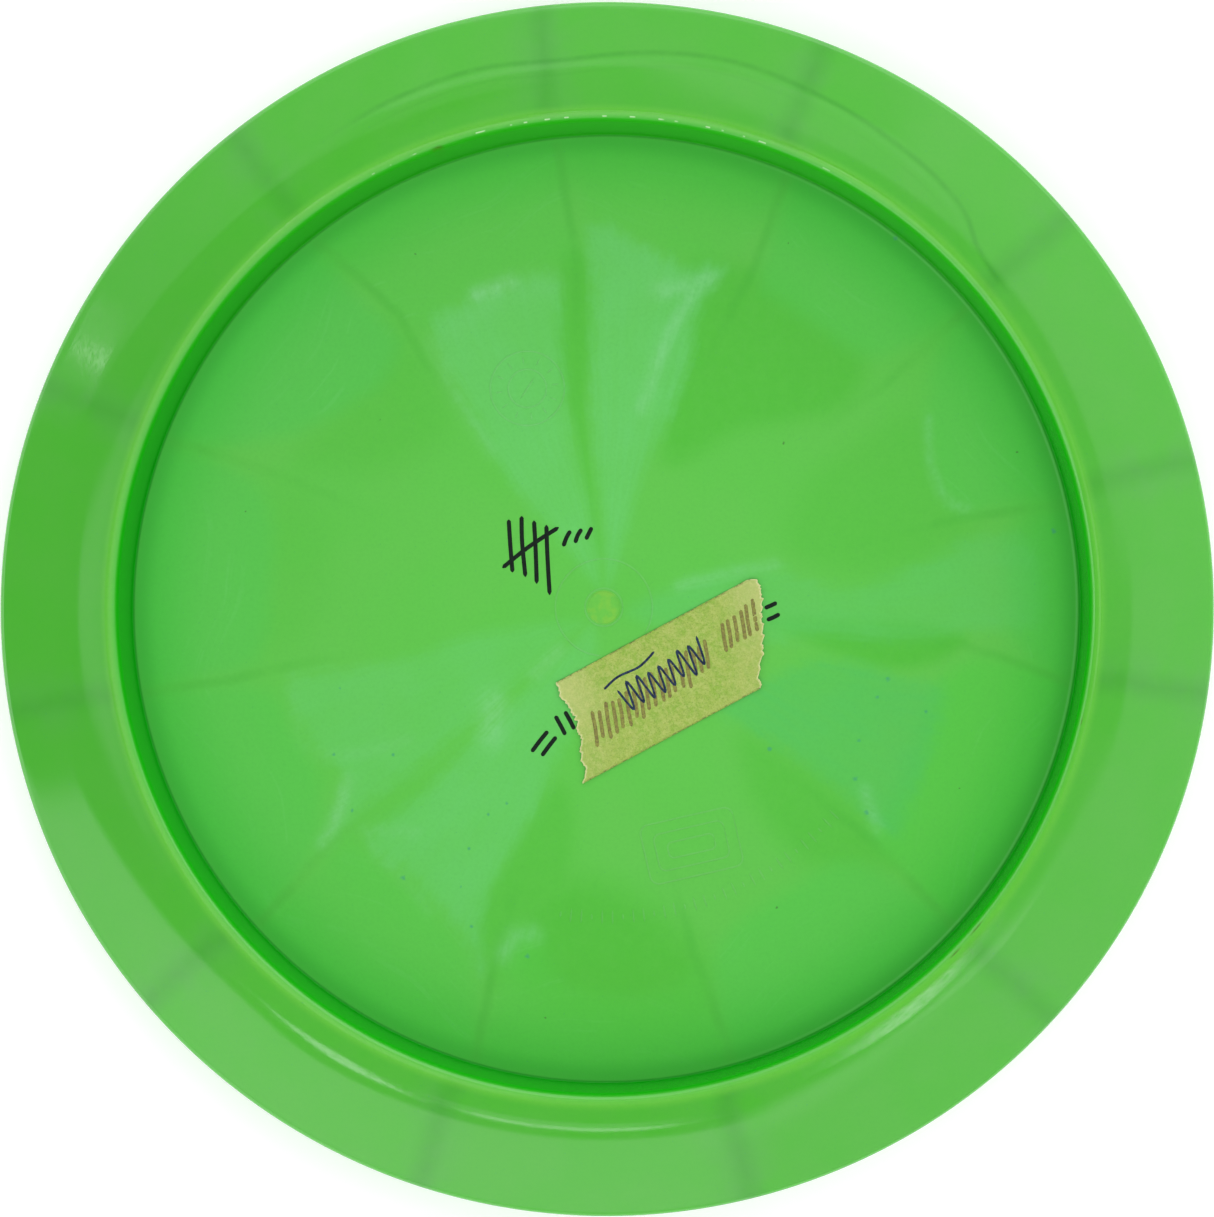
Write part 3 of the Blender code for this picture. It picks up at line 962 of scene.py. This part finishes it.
def make_tape():
    columns, rows = 150, 72
    left_tear = ragged_line(18, rows + 1, 0.82)
    right_tear = ragged_line(41, rows + 1, 0.82)
    top, bottom, ends, us, vs = [], [], [], [], []
    for row in range(rows + 1):
        share = row / rows
        v = -TAPE_HALF_WIDTH + 2 * TAPE_HALF_WIDTH * share
        left = end_of_tape(TAPE_LEFT, v) + left_tear[row]
        right = end_of_tape(TAPE_RIGHT, v) + right_tear[row]
        for column in range(columns + 1):
            u = left + (right - left) * column / columns
            x, y = from_tape(u, v)
            low = TAPE_BOTTOM + tape_lift(u, v, left, right)
            bottom.append((x * MM, y * MM, low * MM))
            top.append((x * MM, y * MM, (low + TAPE_THICKNESS) * MM))
            ends.append(min(u - left, right - u))
            us.append(u)
            vs.append(v)
    count = len(top)
    wide = columns + 1
    faces = []
    for row in range(rows):
        for column in range(columns):
            a = row * wide + column
            faces.append((a, a + 1, a + 1 + wide, a + wide))
            faces.append((count + a, count + a + wide, count + a + 1 + wide, count + a + 1))
    loop = list(range(wide)) + [row * wide + columns for row in range(1, rows + 1)]
    loop += [rows * wide + column for column in range(columns - 1, -1, -1)]
    loop += [row * wide for row in range(rows - 1, 0, -1)]
    for a, b in zip(loop, loop[1:] + loop[:1]):
        faces.append((a, count + a, count + b, b))
    mesh = bpy.data.meshes.new("tape_strip")
    mesh.from_pydata(top + bottom, [], faces)
    mesh.validate()
    recalculate_normals(mesh)
    store(mesh, "tape_end", ends + ends)
    store(mesh, "tape_u", us + us)
    store(mesh, "tape_v", vs + vs)
    piece = show("tape_strip", mesh, tape_paper())
    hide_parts("masking_tape_strip")


def tape_top(x, y):
    c, s = math.cos(TAPE_TURN), math.sin(TAPE_TURN)
    dx, dy = x - TAPE_CENTRE[0], y - TAPE_CENTRE[1]
    u, v = dx * c + dy * s, -dx * s + dy * c
    lift = tape_lift(u, v, end_of_tape(TAPE_LEFT, v), end_of_tape(TAPE_RIGHT, v))
    return (TAPE_BOTTOM + lift + TAPE_THICKNESS) * MM


make_tape()

# ---------------------------------------------------------------- pen marks, which stand for nothing


def marker_marks():
    """Black marker on the plate: a tally of five, some ticks, and strokes beside the tape."""
    strokes = [
        [(-16.9, 15.6), (-16.6, 11.0), (-16.2, 6.2)],
        [(-14.6, 16.2), (-14.5, 11.5), (-13.9, 5.4)],
        [(-12.4, 15.4), (-12.1, 10.2), (-11.9, 4.2)],
        [(-10.2, 14.6), (-10.0, 9.0), (-9.6, 2.2)],
        [(-18.0, 7.0), (-13.5, 10.6), (-8.0, 14.2)],
        [(-7.2, 10.8), (-6.6, 12.4), (-5.9, 13.6)],
        [(-5.1, 11.4), (-4.6, 12.8), (-3.9, 13.9)],
        [(-3.2, 12.0), (-2.6, 13.2), (-2.1, 14.2)],
        [(-12.8, -25.6), (-11.3, -23.6), (-9.9, -21.9)],
        [(-11.0, -26.3), (-9.6, -24.4), (-8.4, -22.9)],
        [(-8.6, -19.2), (-7.6, -21.0), (-6.8, -22.6)],
        [(-6.9, -18.4), (-5.9, -20.2), (-5.2, -21.6)],
        [(28.4, -0.2), (29.6, 0.3), (30.6, 0.8)],
        [(28.8, -2.3), (30.0, -1.8), (31.1, -1.2)],
    ]
    paths = [smooth_path(stroke, pieces=8) for stroke in strokes]
    mesh = bead_mesh("marker_marks", paths, 0.38, 0.03, 0.02, inside_height)
    material = ink("black_marker", rgb(2, 12, 8), rgb(8, 30, 18), 0.5, 1.5)
    show("marker_marks", mesh, material)


def hatching(start, end, height, count, lean, seed):
    """Parallel strokes side by side between two places on the tape, no two quite alike."""
    rng = random.Random(seed)
    strokes = []
    for k in range(count):
        share = k / (count - 1)
        u = start[0] + (end[0] - start[0]) * share + rng.uniform(-0.15, 0.15)
        v = start[1] + (end[1] - start[1]) * share + rng.uniform(-0.25, 0.25)
        half = height / 2 * rng.uniform(0.82, 1.15)
        bow = rng.uniform(-0.15, 0.15)
        strokes.append([(u - lean * half, v - half), (u + bow, v), (u + lean * half, v + half)])
    return strokes


def on_tape(strokes):
    return [np.array([from_tape(u, v) for u, v in smooth_path(stroke, pieces=8)]) for stroke in strokes]


def faded_marks():
    """Old, faded pen on the tape: two runs of plain hatching."""
    strokes = hatching((-15.2, -1.6), (8.6, 0.6), 5.6, 18, 0.35, 5)
    strokes += hatching((12.6, 1.8), (19.2, 2.8), 5.0, 6, 0.35, 6)
    mesh = bead_mesh("faded_pen_marks", on_tape(strokes), 0.34, 0.015, 0.03, tape_top)
    material = ink("faded_pen", rgb(118, 108, 66), rgb(142, 144, 72), 0.8, 2.2)
    show("faded_pen_marks", mesh, material)


def blue_marks():
    """Dark blue ballpoint on the tape: a scribble back and forth, under one long stroke."""
    rng = random.Random(7)
    scribble = []
    for k in range(17):
        swing = (-1) ** k * rng.uniform(1.9, 3.3)
        scribble.append((-8.4 + 1.05 * k, 0.3 + 0.09 * k + swing))
    strokes = [scribble, [(-10.4, 3.9), (-7.2, 4.7), (-3.0, 4.5), (0.6, 5.6)]]
    mesh = bead_mesh("blue_pen_marks", on_tape(strokes), 0.22, 0.03, 0.02, tape_top)
    material = ink("blue_pen", rgb(14, 28, 56), rgb(44, 62, 88), 0.55, 2.0)
    show("blue_pen_marks", mesh, material)


marker_marks()
faded_marks()
blue_marks()

# ---------------------------------------------------------------- floor, light and camera


FLOOR_REACH = 6.0
FLOOR_HEIGHT = -0.3 * MM


def lay_floor():
    mesh = bpy.data.meshes.new("floor")
    reach = FLOOR_REACH
    corners = [(-reach, -reach), (reach, -reach), (reach, reach), (-reach, reach)]
    mesh.from_pydata([(x, y, FLOOR_HEIGHT) for x, y in corners], [], [(0, 1, 2, 3)])
    floor = bpy.data.objects.new("floor", mesh)
    bpy.context.scene.collection.objects.link(floor)
    material, tree, shader, place = surface("pale_floor", 0.9)
    tone = tree.noise(place, 0.002, 2.0)
    tree.put(shader.inputs["Base Color"], tree.mix(tone, rgb(250, 250, 250), rgb(247, 248, 249)))
    shader.inputs["Emission Color"].default_value = (1.0, 1.0, 1.0, 1.0)
    shader.inputs["Emission Strength"].default_value = 0.22
    mesh.materials.append(material)


# The light in most directions, how soft a dim box's edges are, and what the camera sees as backdrop
BRIGHT = 1.225
SOFT = 0.05
BACKDROP = 1.02

# What dims the room overhead, as boxes in the directions x/z and y/z: (west, east, south, north, level)
DIM_BOXES = (
    (-0.45, 0.03, -0.02, 0.80, 0.62),
    (-0.50, 0.60, 1.00, 1.50, 0.85),
    (-2.60, -0.30, -0.38, 0.50, 0.27),
    (-0.55, -0.12, 0.08, 0.50, 0.27),
    (-0.42, 0.09, -0.52, -0.02, 0.30),
    (0.03, 0.42, -0.10, 0.06, 0.50),
    (0.03, 0.20, 0.06, 0.22, 0.45),
    (-0.50, -0.20, -0.05, 0.10, 1.30),
    (-0.16, 0.06, -0.06, 0.12, 0.35),
)

# Windows of the room: (west, east, south, north, softness of their edges, level)
WINDOWS = (
    (-0.285, -0.205, -0.365, -0.255, 0.010, 4.4),
    (-0.150, 0.0, -0.372, -0.322, 0.008, 3.6),
    (-0.150, -0.01, -0.315, -0.250, 0.020, 0.9),
    (0.046, 0.078, -0.152, -0.092, 0.006, 5.2),
    (0.120, 0.250, -0.235, -0.165, 0.020, 0.8),
    (-1.275, -1.215, 0.56, 0.76, 0.012, 0.9),
    (-1.266, -1.222, 0.590, 0.640, 0.006, 3.5),
)


def light_world():
    """A pale room seen from below: bright all round, dim overhead, with a few windows."""
    world = bpy.data.worlds.new("studio")
    bpy.context.scene.world = world
    tree = Tree(world)
    background = tree.nodes["Background"]
    heading = tree.node("ShaderNodeTexCoord").outputs["Generated"]
    split = tree.node("ShaderNodeSeparateXYZ", {0: heading})
    up = tree.math("MAXIMUM", split.outputs[2], 0.02)
    east = tree.math("DIVIDE", split.outputs[0], up)
    north = tree.math("DIVIDE", split.outputs[1], up)

    def panel(west_edge, east_edge, south_edge, north_edge, soft=SOFT):
        return tree.times(
            tree.rise(east, west_edge - soft, west_edge + soft),
            tree.rise(east, east_edge - soft, east_edge + soft, 1.0, 0.0),
            tree.rise(north, south_edge - soft, south_edge + soft),
            tree.rise(north, north_edge - soft, north_edge + soft, 1.0, 0.0),
        )

    def blend(amount, value, other):
        return tree.node("ShaderNodeMix", {0: amount, 2: value, 3: other}).outputs[0]

    south_west = tree.rise(north, -0.35, -0.15, 1.0, 0.0)
    south_west = tree.times(south_west, tree.rise(east, 0.1, 0.3, 1.0, 0.0))
    south_west = tree.times(south_west, tree.rise(split.outputs[2], 0.42, 0.58))
    north_west = tree.times(tree.rise(north, 0.3, 0.5), tree.rise(east, -0.6, -0.3, 1.0, 0.0))
    light = tree.plus(tree.times(south_west, 0.5), tree.times(north_west, -0.5), BRIGHT)
    for *box, level in DIM_BOXES:
        light = blend(panel(*box), light, level)
    light = tree.times(light, tree.rise(split.outputs[2], 0.0, 0.4, 0.55, 1.0))
    behind = tree.math("MAXIMUM", north, tree.times(east, -0.7))
    light = tree.plus(light, tree.times(tree.rise(behind, 1.45, 1.8), 1.2))
    for *window, level in WINDOWS:
        light = tree.plus(light, tree.times(panel(*window), level))
    seen = tree.node("ShaderNodeLightPath").outputs["Is Camera Ray"]
    background.inputs["Color"].default_value = (1.0, 1.0, 1.0, 1.0)
    tree.put(background.inputs["Strength"], blend(seen, light, BACKDROP))


CAMERA_DISTANCE = 0.491
CAMERA_LENS = 83.6
CAMERA_SENSOR = 36.0


def set_camera():
    """Nearly straight down, 3 degrees off the disc's axis, framed on the disc's full width."""
    tilt = math.radians(3.0)
    side = math.radians(-27.0)
    target = Vector((1.0 * MM, -0.44 * MM, DISC_HEIGHT - NOSE_BELOW_LIP))
    back = Vector((math.sin(tilt) * math.cos(side), math.sin(tilt) * math.sin(side), math.cos(tilt)))
    right = Vector((0.0, 1.0, 0.0)).cross(back).normalized()
    up = back.cross(right)
    data = bpy.data.cameras.new("camera")
    data.sensor_width = CAMERA_SENSOR
    data.lens = CAMERA_LENS
    data.clip_start = 0.01
    camera = bpy.data.objects.new("camera", data)
    bpy.context.scene.collection.objects.link(camera)
    axes = Matrix((right, up, back)).transposed().to_4x4()
    camera.matrix_world = Matrix.Translation(target + back * CAMERA_DISTANCE) @ axes
    bpy.context.scene.camera = camera


lay_floor()
light_world()
set_camera()
bpy.context.scene.view_settings.view_transform = "Standard"
